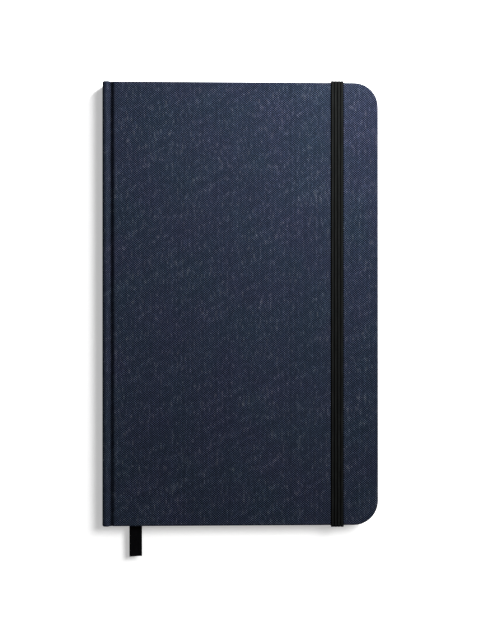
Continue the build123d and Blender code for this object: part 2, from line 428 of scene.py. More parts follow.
def dyed(g, color, u, v, streak):
    """Purple and teal casts, faint clouds, and the streaks."""
    cast = g.spread(g.noise(g.vector(u, v), CAST_SCALE), *CAST_RANGE)
    color = g.mix(1.0, color, g.mix(cast, PURPLE_CAST, TEAL_CAST), "MULTIPLY")
    cloud = g.noise(g.vector(u, v, CLOUD_SEED), CLOUD_SCALE)
    color = g.shade(color, g.spread(cloud, *MOST, *CLOUD_TONES))
    return g.shade(color, g.spread(streak, *MOST, *STREAK_TONES))


def book_cloth():
    """Navy plain weave: pale warp over dark weft, with slubs, flecks, an uneven dye, and painted
    shade towards the sides of each warp thread.
    """
    g = Graph("book_cloth")
    u, v = g.uv()
    across, along = weave(g, u, v)
    warp, weft = g.math("FLOOR", across), g.math("FLOOR", along)
    over = g.math("PINGPONG", g.math("ADD", warp, weft), 1.0)
    crown = thread_crown(g, across, along)
    streak = streaks(g, u, v)
    run = bare_runs(g, warp, v, streak)
    jumps = g.math("MULTIPLY", warp, WARP_JUMP)
    warp_slub = g.noise(g.vector(jumps, g.math("MULTIPLY", v, WARP_SLUB_SCALE)), 1.0)
    jumps = g.math("MULTIPLY", weft, WEFT_JUMP)
    weft_slub = g.noise(g.vector(g.math("MULTIPLY", u, WEFT_SLUB_SCALE), jumps), 1.0)
    fleck = g.math("POWER", g.cell(g.vector(warp, weft, FLECK_SEED)), FLECK_POWER)
    warp_tone = g.spread(g.cell(g.vector(warp, 0.0, WARP_SEED)), 0.0, 1.0, *WARP_TONES)
    warp_light = g.math("ADD", warp_tone, g.spread(warp_slub, *SLUB_RANGE, 0.0, WARP_SLUB))
    warp_light = g.math("MULTIPLY", warp_light, g.spread(fleck, 0.0, 1.0, *FLECK_TONES))
    warp_light = g.math("MULTIPLY", warp_light, g.spread(run, 0.0, 1.0, *RUN_TONES))
    # Painted shade: the warp is painted light at its crown and darker towards its sides.
    warp_light = g.math("MULTIPLY", warp_light, g.math("MULTIPLY", crown, CROWN_SHADE_GAIN))
    weft_tone = g.spread(g.cell(g.vector(0.0, weft, WEFT_SEED)), 0.0, 1.0, *WEFT_TONES)
    weft_light = g.math("ADD", weft_tone, g.spread(weft_slub, *SLUB_RANGE, 0.0, WEFT_SLUB))
    pale = g.shade(g.mix(run, WARP, BARE_WARP), warp_light)
    dark = g.mix(g.math("MULTIPLY", run, RUN_IN_WEFT), g.shade(WEFT, weft_light), pale)
    color = dyed(g, g.mix(over, dark, pale), u, v, streak)
    height = g.math("ADD", crown, g.math("MULTIPLY", over, OVER_HEIGHT))
    height = g.math("ADD", height, g.math("MULTIPLY", warp_slub, SLUB_HEIGHT))
    g.bump(height, distance=0.07 * MM, strength=0.8)
    return g.finish(color, roughness=0.9, specular=0.02)


# ---------------------------------------------------------------- paper, board and binding
PAGE_TONE = (0.34, 0.315, 0.26)
ENDPAPER_TONE = (0.29, 0.27, 0.218)
LINING_TONE = (0.50, 0.43, 0.32)
GRAIN_SCALE, MOTTLE_SCALE = 900.0, 25.0
GRAIN_TONES, MOTTLE_TONES = (0.96, 1.03), (0.97, 1.02)
PAGE_LEFT, PAGE_RIGHT = SPINE_X + 16.0 * MM, FORE_X - 12.0 * MM
PAGE_FOOT, PAGE_HEAD = -92.0 * MM, 88.0 * MM
HEADER = 14.0 * MM
ROW = 7.2 * MM
COLUMNS = (30, 46, 62, 76, 86, 96, 107)
ROW_LINE = 0.012
COLUMN_LINE, FRAME_LINE = 0.075 * MM, 0.14 * MM
INK, INK_STRENGTH = (0.08, 0.12, 0.17), 0.75
HEADER_TINT, HEADER_STRENGTH = (0.24, 0.32, 0.35), 0.35
BOARD_DARK, BOARD_PALE = (0.22, 0.19, 0.15), (0.40, 0.36, 0.30)
FIBRE_SCALE = 1200.0
FIBRE_STRETCH = (0.3, 1.0, 3.0)
MULL_PITCH = 0.9 * MM
MULL_PALE, MULL_DARK = (0.78, 0.75, 0.66), (0.42, 0.39, 0.32)
MULL_RANGE = (0.6, 0.95)
TWIST_RATE, TWIST_SLANT = 14000.0, 1.5
THREAD_DARK, THREAD_PALE = (0.62, 0.57, 0.46), (0.85, 0.81, 0.70)
SILK_REPEAT = 1.6 * MM
SILK_NAVY, SILK_GREY = (0.020, 0.028, 0.060), (0.055, 0.068, 0.105)
# Painted shade in the grooves between the wraps.
SILK_SHADE = (0.005, 0.006, 0.010)
SILK_SHADE_STRENGTH = 0.35


def wave(g, value, pitch):
    """A sine that repeats every pitch."""
    return g.math("SINE", g.math("MULTIPLY", value, math.tau / pitch))


def paper(name, tone, ruled):
    """Uncoated paper. Ruled paper has generic log columns, with no wording."""
    g = Graph(name)
    u, v = g.uv()
    place = g.vector(*g.place())
    grain = g.noise(place, GRAIN_SCALE, detail=4.0, roughness=0.6)
    mottle = g.noise(place, MOTTLE_SCALE, detail=3.0)
    light = g.spread(grain, *MOST, *GRAIN_TONES)
    light = g.math("MULTIPLY", light, g.spread(mottle, *MOST, *MOTTLE_TONES))
    color = g.shade(tone, light)
    if ruled:
        color = ruled_page(g, color, u, v)
    g.bump(grain, distance=0.03 * MM, strength=0.5)
    return g.finish(color, roughness=0.9, specular=0.15)


def between(g, value, low, high):
    return g.math("MULTIPLY", g.math("GREATER_THAN", value, low), g.math("LESS_THAN", value, high))


def line_at(g, value, place, half_width):
    return g.math("LESS_THAN", g.math("ABSOLUTE", g.math("SUBTRACT", value, place)), half_width)


def ruled_page(g, color, u, v):
    """Rows, columns and a pale header band, inside the page's margins."""
    inside = between(g, u, PAGE_LEFT, PAGE_RIGHT)
    inside = g.math("MULTIPLY", inside, between(g, v, PAGE_FOOT, PAGE_HEAD))
    rows_top = PAGE_HEAD - HEADER
    phase = g.math("FRACT", g.math("DIVIDE", g.math("SUBTRACT", rows_top, v), ROW))
    ink = g.math("MULTIPLY", line_at(g, phase, 0.5, ROW_LINE), g.math("LESS_THAN", v, rows_top))
    for column in COLUMNS:
        ink = g.math("MAXIMUM", ink, line_at(g, u, SPINE_X + column * MM, COLUMN_LINE))
    for edge in (PAGE_LEFT, PAGE_RIGHT):
        ink = g.math("MAXIMUM", ink, line_at(g, u, edge, FRAME_LINE))
    for edge in (PAGE_FOOT, PAGE_HEAD, rows_top):
        ink = g.math("MAXIMUM", ink, line_at(g, v, edge, FRAME_LINE))
    ink = g.math("MULTIPLY", ink, inside)
    band = g.math("MULTIPLY", inside, g.math("GREATER_THAN", v, rows_top))
    color = g.mix(g.math("MULTIPLY", band, HEADER_STRENGTH), color, HEADER_TINT)
    return g.mix(g.math("MULTIPLY", ink, INK_STRENGTH), color, INK)


def greyboard():
    """Pressed grey-brown board with fibres."""
    g = Graph("greyboard")
    stretched = [g.math("MULTIPLY", axis, k) for axis, k in zip(g.place(), FIBRE_STRETCH)]
    fibre = g.noise(g.vector(*stretched), FIBRE_SCALE, detail=4.0, roughness=0.7)
    color = g.mix(g.spread(fibre, *MOST), BOARD_DARK, BOARD_PALE)
    g.bump(fibre, distance=0.05 * MM, strength=0.6)
    return g.finish(color, roughness=0.93, specular=0.12)


def mull_gauze():
    """Open woven gauze, drawn as crossing threads."""
    g = Graph("mull_gauze")
    waves = [g.math("ABSOLUTE", wave(g, axis, 2 * MULL_PITCH)) for axis in g.place()[1:]]
    crossing = g.math("MAXIMUM", *waves)
    color = g.mix(g.spread(crossing, *MULL_RANGE), MULL_DARK, MULL_PALE)
    g.bump(crossing, distance=0.06 * MM, strength=0.7)
    return g.finish(color, roughness=0.9, specular=0.15)


def twisted_thread():
    """Waxed linen thread with its ply."""
    g = Graph("twisted_thread")
    y, z = g.place()[1:]
    slanted = g.math("ADD", z, g.math("MULTIPLY", y, TWIST_SLANT))
    ply = g.math("SINE", g.math("MULTIPLY", slanted, TWIST_RATE))
    color = g.mix(g.spread(ply, -1.0, 1.0), THREAD_DARK, THREAD_PALE)
    g.bump(ply, distance=0.04 * MM, strength=0.6)
    return g.finish(color, roughness=0.55, specular=0.4)


def headband_silk():
    """Two shades of thread wrapped round the band's core, with painted shade between the wraps."""
    g = Graph("headband_silk")
    z = g.place()[2]
    turn = g.math("FRACT", g.math("DIVIDE", z, SILK_REPEAT))
    strand = wave(g, z, WRAP_PITCH)
    color = g.mix(g.math("GREATER_THAN", turn, 0.5), SILK_NAVY, SILK_GREY)
    # Painted shade between the wraps, following the wraps' relief.
    color = g.mix(g.spread(strand, -1.0, 1.0, 0.0, SILK_SHADE_STRENGTH), color, SILK_SHADE)
    g.bump(strand, distance=0.1 * MM, strength=0.8)
    return g.finish(color, roughness=0.5, specular=0.35)


# ---------------------------------------------------------------- elastic and ribbon looks
PICK, PLY = 0.62 * MM, 0.5 * MM
PICK_LIGHT, PLY_LIGHT, FUZZ_LIGHT, RUB_LIGHT = 0.1, 0.12, 0.3, 0.5
FUZZ_STRETCH, FUZZ_SCALE = 3.0, 1400.0
RUB_SCALES = (2600.0, 110.0)
RUB_RANGE = (0.35, 0.7)
ELASTIC_DARK, ELASTIC_PALE = (0.0013, 0.0014, 0.0014), (0.0092, 0.0101, 0.0097)
# The gaps between the ribs and the selvedges are painted near-black: painted shade in the valleys,
# and painted shade and shadow at the band's edges.
RIB_SHADE_RANGE = (0.2, 0.38)
RIB_SHADE_COLOR, RIB_SHADE_STRENGTH = (0.0001, 0.0001, 0.0001), 0.95
PICK_HEIGHT, PLY_HEIGHT = 0.5, 0.4
FLOAT_SCALES = (9000.0, 260.0)
CROSS_PITCH = 0.28 * MM
RIBBON_EDGE = 2.65 * MM
RIBBON_DARK, RIBBON_PALE = (0.0013, 0.0012, 0.0014), (0.0039, 0.0035, 0.0043)
EDGE_COLOR, EDGE_STRENGTH = (0.0002, 0.0002, 0.0002), 0.6
CROSS_HEIGHT, EDGE_HEIGHT = 0.12, 0.6


def painted_rib_shade(g, u):
    """Painted shade and shadow: 1 in the gaps between the ribs and on the two selvedges, 0 on the
    ribs' crowns.
    """
    pitch = ELASTIC_WIDTH / RIBS
    phase = g.math("FRACT", g.math("ADD", g.math("DIVIDE", u, pitch), 2.0 * RIBS))
    off_crown = g.math("ABSOLUTE", g.math("SUBTRACT", phase, 0.5))
    valley_shade = g.spread(off_crown, *RIB_SHADE_RANGE)
    selvedge_shade = g.math("GREATER_THAN", g.math("ABSOLUTE", u), ELASTIC_WIDTH / 2 - SELVEDGE_SHADE_WIDTH)
    return g.math("MAXIMUM", valley_shade, selvedge_shade)


def ribbed_elastic():
    """Black knitted elastic: lengthwise ribs with painted shade in the gaps and on the selvedges,
    crossed by fine picks.
    """
    g = Graph("ribbed_elastic")
    u, v = g.uv()
    pick, ply = wave(g, v, PICK), wave(g, u, PLY)
    place = g.vector(g.math("MULTIPLY", u, FUZZ_STRETCH), v)
    fuzz = g.noise(place, FUZZ_SCALE, detail=3.0, roughness=0.6)
    stretched = [g.math("MULTIPLY", axis, k) for axis, k in zip((u, v), RUB_SCALES)]
    rub = g.noise(g.vector(*stretched), 1.0)
    light = g.spread(pick, -1.0, 1.0, 0.0, PICK_LIGHT)
    light = g.math("ADD", light, g.spread(ply, -1.0, 1.0, 0.0, PLY_LIGHT))
    light = g.math("ADD", light, g.spread(fuzz, *MOST, 0.0, FUZZ_LIGHT))
    light = g.math("ADD", light, g.spread(rub, *RUB_RANGE, 0.0, RUB_LIGHT))
    color = g.mix(light, ELASTIC_DARK, ELASTIC_PALE)
    # Painted shade in the gaps between the ribs and on the selvedges.
    color = g.mix(g.math("MULTIPLY", painted_rib_shade(g, u), RIB_SHADE_STRENGTH), color, RIB_SHADE_COLOR)
    height = g.math("ADD", g.math("MULTIPLY", ply, PLY_HEIGHT), fuzz)
    height = g.math("ADD", g.math("MULTIPLY", pick, PICK_HEIGHT), height)
    g.bump(height, distance=0.08 * MM, strength=0.7)
    return g.finish(color, roughness=0.9, specular=0.02)


def satin_ribbon():
    """Black satin: long floats along the ribbon, with a firmer woven edge."""
    g = Graph("satin_ribbon")
    u, v = g.uv()
    stretched = [g.math("MULTIPLY", axis, k) for axis, k in zip((u, v), FLOAT_SCALES)]
    floats = g.noise(g.vector(*stretched), 1.0)
    edge = g.math("GREATER_THAN", g.math("ABSOLUTE", u), RIBBON_EDGE)
    color = g.mix(g.spread(floats, *MOST), RIBBON_DARK, RIBBON_PALE)
    color = g.mix(g.math("MULTIPLY", edge, EDGE_STRENGTH), color, EDGE_COLOR)
    depth = g.math("ADD", CROSS_HEIGHT, g.math("MULTIPLY", edge, EDGE_HEIGHT))
    height = g.math("ADD", floats, g.math("MULTIPLY", wave(g, v, CROSS_PITCH), depth))
    g.bump(height, distance=0.04 * MM, strength=0.5)
    return g.finish(color, roughness=0.6, specular=0.01)


CLOTH_LOOK = book_cloth()
PAGE_LOOK = paper("log_page", PAGE_TONE, True)
ENDPAPER_LOOK = paper("endpaper", ENDPAPER_TONE, False)
LINER_LOOK = paper("lining_paper", LINING_TONE, False)
BOARD_LOOK = greyboard()
MULL_LOOK = mull_gauze()
THREAD_LOOK = twisted_thread()
ELASTIC_LOOK = ribbed_elastic()
RIBBON_LOOK = satin_ribbon()
BAND_LOOK = headband_silk()


# ---------------------------------------------------------------- cloth cover
def wrap(depth):
    """The cloth round one edge, as (inset from the edge, depth under the face, length past the
    face's edge). It starts on the flat face, goes over the edge and in to the end of the
    turn-in, and comes back along the cloth's inner side."""
    radius = min(EDGE, depth / 2)
    outer = [(WRAP_FLAT, 0.0), (WRAP_SUPPORT, 0.0)]
    outer += [(radius - a, radius - b) for a, b in arc(0, 0, radius, 90, 0, ARC_STEPS)]
    outer += [(radius - a, depth - radius - b) for a, b in arc(0, 0, radius, 0, -90, ARC_STEPS)]
    outer += [(WRAP_SUPPORT, depth), (TURN_IN, depth)]
    inner = [(TURN_IN, depth - CLOTH), (WRAP_SUPPORT, depth - CLOTH), (CLOTH, depth - CLOTH)]
    inner += [(CLOTH, CLOTH), (WRAP_SUPPORT, CLOTH), (WRAP_FLAT, CLOTH)]
    lengths = [-WRAP_FLAT]
    for (a, b), (c, d) in zip(outer, outer[1:]):
        lengths.append(lengths[-1] + math.hypot(c - a, d - b))
    last = lengths[-1]
    back = [last, last - TURN_IN + WRAP_SUPPORT, last - TURN_IN, 0.0, -WRAP_SUPPORT, -WRAP_FLAT]
    return [(a, b, s) for (a, b), s in zip(outer + inner, lengths + back)]


def face_height(x):
    """Height of the cloth's outer face over the groove and the ridge, above TOP. The groove
    falls away slowly from the ridge and climbs steeply to the board."""
    width = GROOVE_RISE if x > DEEPEST_X else GROOVE_FALL
    dip = GROOVE_DEPTH * math.exp(-(((x - DEEPEST_X) / width) ** 2))
    low = RIDGE_SAG * (1 - smooth_step((x - GROOVE_X) / SAG_WIDTH + 0.5))
    return -dip - low


def cloth_path():
    """The cover's outer line in x and z, from the front board to the middle of the spine."""
    turn = SPINE_X + RIDGE_RADIUS
    points = []
    for i in range(PATH_STEPS + 1):
        x = JOIN_X + (turn - JOIN_X) * i / PATH_STEPS
        points.append((x, TOP + face_height(x)))
    top = points[-1][1]
    points += arc(turn, top - RIDGE_RADIUS, RIDGE_RADIUS, 90, 180, RIDGE_STEPS)[1:]
    start = points[-1][1]
    return points + steps_between((SPINE_X, start), (SPINE_X, TOP / 2), SPINE_STEPS)


def path_normals(path):
    """Unit normals of the line, out of the book."""
    normals = []
    for i in range(len(path)):
        (a, b), (c, d) = path[max(i - 1, 0)], path[min(i + 1, len(path) - 1)]
        size = math.hypot(c - a, d - b)
        normals.append(((d - b) / size, (a - c) / size))
    return normals


def wrap_depth(x):
    """How thick the turned-in edge is: cloth, board and cloth, or cloth on cloth in between."""
    double = 2 * CLOTH
    on_board = smooth_step((x - BOARD_X + BUILD_UP_START) / BUILD_UP)
    on_spine = smooth_step((SPINE_X + RIDGE_RADIUS + BUILD_UP - x) / BUILD_UP)
    return double + (COVER - double) * on_board + SPINE_BOARD * on_spine


class Skin:
    """Points and faces of one piece of cloth. A mirrored one is the back cover's."""

    def __init__(self, mirrored, middle_u):
        self.mirrored = mirrored
        self.middle_u = middle_u
        self.points, self.uvs, self.faces = [], [], []

    def point(self, x, y, z, u, v):
        if self.mirrored:
            z, u = TOP - z, 2 * self.middle_u - u
        self.points.append((x, y, z))
        self.uvs.append((u, v))
        return len(self.points) - 1

    def strip(self, rows, closed):
        for first, second in zip(rows, rows[1:]):
            count = len(first)
            for i in range(count if closed else count - 1):
                j = (i + 1) % count
                self.faces.append([first[i], second[i], second[j], first[j]])


def spine_strip(skin, path, normals, lengths):
    """The cloth along part of the path, doubled at the head and tail where it turns in."""
    rows = []
    for (x, z), (nx, nz), length in zip(path, normals, lengths):
        half = COVER_HALF + (SPINE_HALF - COVER_HALF) * smooth_step((GROOVE_X - x) / NARROWING)
        flat = half - WRAP_FLAT
        around = wrap(wrap_depth(x))
        inner = [-flat + 2 * flat * i / FLAT_ROWS for i in range(1, FLAT_ROWS)]
        loop = [(y, 0.0, y) for y in inner]
        loop += [(half - inset, low, half + s) for inset, low, s in around]
        loop += [(y, CLOTH, y) for y in reversed(inner)]
        loop += [(inset - half, low, -half - s) for inset, low, s in reversed(around)]
        row = []
        for y, low, v in loop:
            near = low if x <= SPINE_X + RIDGE_RADIUS else min(low, 2 * CLOTH)
            place = (x - nx * near, y, z - nz * near - (low - near))
            row.append(skin.point(*place, JOIN_X - length, v))
        rows.append(row)
    skin.strip(rows, closed=True)
    skin.faces.append(rows[-1])
    return rows[0]


def board_outline():
    """The board cover's edge from the head to the tail, as points with outward directions."""
    centre_x, centre_y = FORE_X - CORNER, COVER_HALF - CORNER
    outline = [(JOIN_X, COVER_HALF, 0.0, 1.0)]
    for first, side in ((90, 1), (0, -1)):
        for i in range(CORNER_STEPS + 1):
            t = math.radians(first - 90 * i / CORNER_STEPS)
            nx, ny = math.cos(t), math.sin(t)
            outline.append((centre_x + CORNER * nx, side * centre_y + CORNER * ny, nx, ny))
    outline.append((JOIN_X, -COVER_HALF, 0.0, -1.0))
    return outline


def board_skin(skin, first_row):
    """The cloth over a board: round its three edges, and flat across both its faces."""
    around = wrap(COVER)
    rows = []
    for x, y, nx, ny in board_outline():
        row = [
            skin.point(x - nx * inset, y - ny * inset, TOP - low, x + nx * s, y + ny * s)
            for inset, low, s in around
        ]
        rows.append(row)
    skin.strip(rows, closed=False)
    count = FLAT_ROWS - 1
    outer = first_row[:count]
    inner = first_row[count + len(around) : 2 * count + len(around)]
    skin.faces.append([row[0] for row in rows] + outer)
    skin.faces.append([row[-1] for row in rows] + inner[::-1])


def make_cloth():
    """Three pieces: the back with half the spine, the spine's other half, and the front."""
    path = cloth_path()
    normals = path_normals(path)
    lengths = [0.0]
    for (a, b), (c, d) in zip(path, path[1:]):
        lengths.append(lengths[-1] + math.hypot(c - a, d - b))
    seam = next(i for i, (x, z) in enumerate(path) if x <= SEAM_X)
    parts = {
        "cloth_front": (False, 0, seam + 1, True),
        "cloth_spine_front": (False, seam, len(path), False),
        "cloth_back": (True, 0, len(path), True),
    }
    made = {}
    for name, (mirrored, first, last, with_board) in parts.items():
        skin = Skin(mirrored, JOIN_X - lengths[-1])
        span = slice(first, last)
        row = spine_strip(skin, path[span], normals[span], lengths[span])
        if with_board:
            board_skin(skin, row)
        else:
            skin.faces.append(row)
        made[name] = make_piece(name, skin.points, skin.faces, skin.uvs, CLOTH_LOOK, 60)
    return made


def channel_cuts(side):
    """The elastic's room at one end of the back cover: its channel, and its slot."""
    ends = sorted((side * SLOT_INNER_Y, side * (COVER_HALF + CUT_PAST)))
    low = (ELASTIC_X - CHANNEL_WIDTH / 2, ends[0], -CUT_PAST)
    high = (ELASTIC_X + CHANNEL_WIDTH / 2, ends[1], CHANNEL_DEPTH)
    channel = box_piece("channel_cutter", low, high)
    ends = sorted((side * SLOT_INNER_Y, side * SLOT_OUTER_Y))
    low = (ELASTIC_X - SLOT_WIDTH / 2, ends[0], -CUT_PAST)
    high = (ELASTIC_X + SLOT_WIDTH / 2, ends[1], COVER + CUT_PAST)
    return [channel, box_piece("slot_cutter", low, high)]


def channel_linings():
    """A tray of cloth in each channel, open at the cover's edge and at the slot."""
    half_width = CHANNEL_WIDTH / 2 + CLOTH
    for name, side in (("channel_cloth_head", 1), ("channel_cloth_tail", -1)):
        ends = sorted((side * (SLOT_INNER_Y - CLOTH), side * (COVER_HALF - CLOTH)))
        low = (ELASTIC_X - half_width, ends[0], TRAY_LIFT)
        high = (ELASTIC_X + half_width, ends[1], CHANNEL_DEPTH + CLOTH)
        tray = box_piece(name, low, high)
        tray.data.materials.append(CLOTH_LOOK)
        carve(tray, channel_cuts(side))
        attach(tray, "back_cover")


def cover_cloth():
    """The cloth pieces in place, shaped round the spine's edges and into the front groove."""
    made = make_cloth()
    carve(made["cloth_back"], channel_cuts(-1) + channel_cuts(1))
    channel_linings()
    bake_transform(made["cloth_back"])
    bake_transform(made["cloth_spine_front"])
    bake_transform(made["cloth_front"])
    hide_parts("back_cloth")
    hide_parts("spine_cloth", "front_joint_cloth")
    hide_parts("front_cloth")


# ---------------------------------------------------------------- paper
def leaf_ring(x, z, nx, nz, half, thick):
    """One ring round a sheet: two corners on its outer side and two on its inner side."""
    outer = (x + nx * thick / 2, z + nz * thick / 2)
    inner = (x - nx * thick / 2, z - nz * thick / 2)
    ring = []
    for (a, b), y in ((outer, -half), (outer, half), (inner, half), (inner, -half)):
        ring.append(((a, y, b), (a, y)))
    return ring


def leaf_stations(fore_x, near_x, half, corner):
    """(x, half height) along a leaf, from the fore-edge with its two round corners."""
    stations = []
    for i in range(PAGE_CORNER_STEPS + 1):
        t = math.radians(90 * i / PAGE_CORNER_STEPS)
        x = fore_x - corner * (1 - math.cos(t))
        stations.append((x, half - corner * (1 - math.sin(t))))
    stations.append((near_x, half))
    return stations


def folded_sheet(name, low, high, fold_x, fore_x, half):
    """One sheet folded in two along the spine, as a closed solid of real paper thickness."""
    radius, middle = (high - low) / 2, (low + high) / 2
    stations = leaf_stations(fore_x, fold_x + radius, half, PAGE_CORNER)
    rings = [leaf_ring(x, low, 0, -1, h, PAPER) for x, h in stations]
    for a, b in arc(fold_x + radius, middle, radius, 270, 90, FOLD_STEPS)[1:-1]:
        nx, nz = (a - fold_x - radius) / radius, (b - middle) / radius
        rings.append(leaf_ring(a, b, nx, nz, half, PAPER))
    rings += [leaf_ring(x, high, 0, 1, h, PAPER) for x, h in reversed(stations)]
    return lofted_piece(name, rings, PAGE_LOOK, 30)


def page_sections():
    """Each section as nested folded sheets, trimmed a little unevenly."""
    for number in range(1, SECTIONS + 1):
        node = f"section_{number:02d}"
        low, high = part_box(node)
        pitch = (high.z - low.z) / (2 * SHEETS)
        for i in range(SHEETS):
            inset = (i + 0.5) * pitch
            fore_x = high.x - random.uniform(0.0, TRIM)
            half = high.y - random.uniform(0.0, TRIM)
            name = f"{node}_sheet_{i + 1}"
            bottom, top, fold_x = low.z + inset, high.z - inset, low.x + inset
            sheet = folded_sheet(name, bottom, top, fold_x, fore_x, half)
            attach(sheet, f"leaves_{number:02d}")
        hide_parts(node)


def endpaper(name):
    """A pastedown that carries on across the groove to the page block."""
    low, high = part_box(name)
    z = (low.z + high.z) / 2
    thick = high.z - low.z
    near = (SPINE_X + HINGE_START, high.y)
    stations = leaf_stations(high.x, BOARD_X + HINGE_FROM_BOARD, high.y, PAGE_CORNER)
    stations += steps_between(stations[-1], near, HINGE_STEPS)
    rings = [leaf_ring(x, z, 0, 1, h, thick) for x, h in stations]
    piece = lofted_piece(name + "_sheet", rings, ENDPAPER_LOOK, 30)
    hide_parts(name)
    return piece


def endpapers():
    """Both endpapers. The front one is fixed in place, and the back one rides with the back cover.
    """
    front = endpaper("front_pastedown")
    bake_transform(front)
    back = endpaper("back_pastedown")
    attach(back, "back_cover")


# ---------------------------------------------------------------- headbands
def bead_ring(centre_x, centre_y, z, radius):
    """One ring round the headband's core."""
    ring = []
    for k in range(BEAD_SIDES):
        t = math.tau * k / BEAD_SIDES
        place = (centre_x + radius * math.cos(t), centre_y + radius * math.sin(t), z)
        ring.append((place, (t * radius, z)))
    return ring


def headband(node):
    """A core wrapped with thread, standing on its cloth tab."""
    low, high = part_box(node)
    side = 1 if high.y > 0 else -1
    centre_x = high.x - BEAD_RADIUS
    centre_y = (high.y if side > 0 else low.y) - side * BEAD_RADIUS
    steps = round((high.z - low.z) / WRAP_PITCH) * WRAP_STEPS
    rings = []
    for i in range(steps + 1):
        z = low.z + (high.z - low.z) * i / steps
        swell = abs(math.sin(math.pi * i / WRAP_STEPS))
        radius = BEAD_RADIUS * (BEAD_WAIST + (1 - BEAD_WAIST) * swell)
        rings.append(bead_ring(centre_x, centre_y, z, radius))
    bead = lofted_piece(node + "_bead", rings, BAND_LOOK, 60)
    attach(bead, "spine")
    tab_low, tab_high = sorted((centre_y, centre_y - side * TAB_LENGTH))
    corner = (low.x + TAB_THICK, tab_high, high.z)
    tab = box_piece(node + "_tab", (low.x, tab_low, low.z), corner)
    tab.data.materials.append(BAND_LOOK)
    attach(tab, "spine")
    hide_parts(node)


# ---------------------------------------------------------------- elastic
def rib_profile():
    """Half thicknesses across the elastic: four round ribs with valleys between them."""
    width = ELASTIC_WIDTH / RIBS
    profile = []
    for i in range(RIBS * RIB_STEPS + 1):
        across = -ELASTIC_WIDTH / 2 + ELASTIC_WIDTH * i / (RIBS * RIB_STEPS)
        phase = (across / width) % 1.0
        bulge = math.sqrt(max(0.0, 1 - (2 * phase - 1) ** 2))
        profile.append((across, ELASTIC_THICK / 2 * (RIB_VALLEY + (1 - RIB_VALLEY) * bulge)))
    return profile


def lean(z):
    """How far the band leans towards the spine at a height: nothing where it leaves the back
    cover, and its full amount across the front."""
    return ELASTIC_LEAN * smooth_step((z - SETTLED_Z) / (TOP - SETTLED_Z))


def elastic_run(name, line):
    """The ribbed band swept along a line in y and z."""
    profile = rib_profile()
    normals = path_normals(line)
    rings = []
    length = 0.0
    for i, ((y, z), (ny, nz)) in enumerate(zip(line, normals)):
        if i:
            length += math.hypot(y - line[i - 1][0], z - line[i - 1][1])
        section = [(a, t) for a, t in profile] + [(a, -t) for a, t in reversed(profile)]
        ring = [
            ((ELASTIC_X + a - lean(z), y + ny * t, z + nz * t), (a, length)) for a, t in section
        ]
        rings.append(ring)
    return lofted_piece(name, rings, ELASTIC_LOOK, 50)


def band_line():
    """The band's line in y and z: up the head's side, across the front, and down the tail's."""
    bend, corner_y = ELASTIC_BEND, SIDE_Y - ELASTIC_BEND
    line = [(SIDE_Y, SETTLED_Z)]
    line += steps_between(line[-1], (SIDE_Y, FRONT_Z - bend), SIDE_STEPS)
    line += arc(corner_y, FRONT_Z - bend, bend, 0, 90, BEND_STEPS)[1:]
    line += steps_between(line[-1], (-corner_y, FRONT_Z), FRONT_STEPS)
    line += arc(-corner_y, FRONT_Z - bend, bend, 90, 180, BEND_STEPS)[1:]
    return line + steps_between(line[-1], (-SIDE_Y, SETTLED_Z), SIDE_STEPS)


def anchor_line(end, low_z):
    """A glued end's line: under the back cover, up through the slot, and onto the board."""
    low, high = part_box("elastic_anchor_" + end)
    back_z, tab_z = low.z + ELASTIC_THICK / 2, high.z - ELASTIC_THICK / 2
    tab_y = min(abs(low.y), abs(high.y))
    leg_y = SLOT_INNER_Y + LEG_INSET
    bend = ELASTIC_BEND
    line = [(SIDE_Y, low_z)]
    line += arc(SIDE_Y - bend, back_z + bend, bend, 0, -90, BEND_STEPS)
    line += steps_between(line[-1], (leg_y + bend, back_z), CHANNEL_STEPS)
    line += arc(leg_y + bend, back_z + bend, bend, 270, 180, LEG_STEPS)[1:]
    line += arc(leg_y - bend, tab_z - bend, bend, 0, 90, LEG_STEPS)
    return line + steps_between(line[-1], (tab_y, tab_z), TAB_STEPS)


def elastic_end(end, side):
    """The lower side at the head or the tail, and the glued end that it leads to."""
    low_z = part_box("elastic_" + end)[0].z
    line = [(side * SIDE_Y, low_z)]
    line += steps_between(line[-1], (side * SIDE_Y, SETTLED_Z), SIDE_STEPS)
    lower = elastic_run(f"elastic_{end}_lower", line)
    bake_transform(lower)
    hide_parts("elastic_" + end)
    line = [(side * y, z) for y, z in anchor_line(end, low_z)]
    anchor = elastic_run(f"elastic_{end}_anchor", line)
    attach(anchor, "back_cover")
    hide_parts("elastic_anchor_" + end)


def elastic():
    """The closure: the front run with its upper sides, and both ends."""
    band = elastic_run("elastic_band", band_line())
    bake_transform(band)
    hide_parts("elastic_front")
    elastic_end("head", 1)
    elastic_end("tail", -1)


# ---------------------------------------------------------------- ribbon
def ribbon_ring(x, y, z, thick, loose, length):
    """One ring round the ribbon. Towards its loose end, the edges curl up and the cut slants."""
    half_width = RIBBON_WIDTH / 2
    slant = RIBBON_SLANT * smooth_step(loose)
    top, bottom = [], []
    for k in range(RIBBON_COLUMNS + 1):
        across = -half_width + RIBBON_WIDTH * k / RIBBON_COLUMNS
        lift = RIBBON_CURL * loose * (across / half_width) ** 2
        back = slant * (across / RIBBON_WIDTH + 0.5)
        uv = (across, length - back)
        top.append(((x + across, y + back, z + thick / 2 + lift), uv))
        bottom.append(((x + across, y + back, z - thick / 2 + lift), uv))
    return top + bottom[::-1]


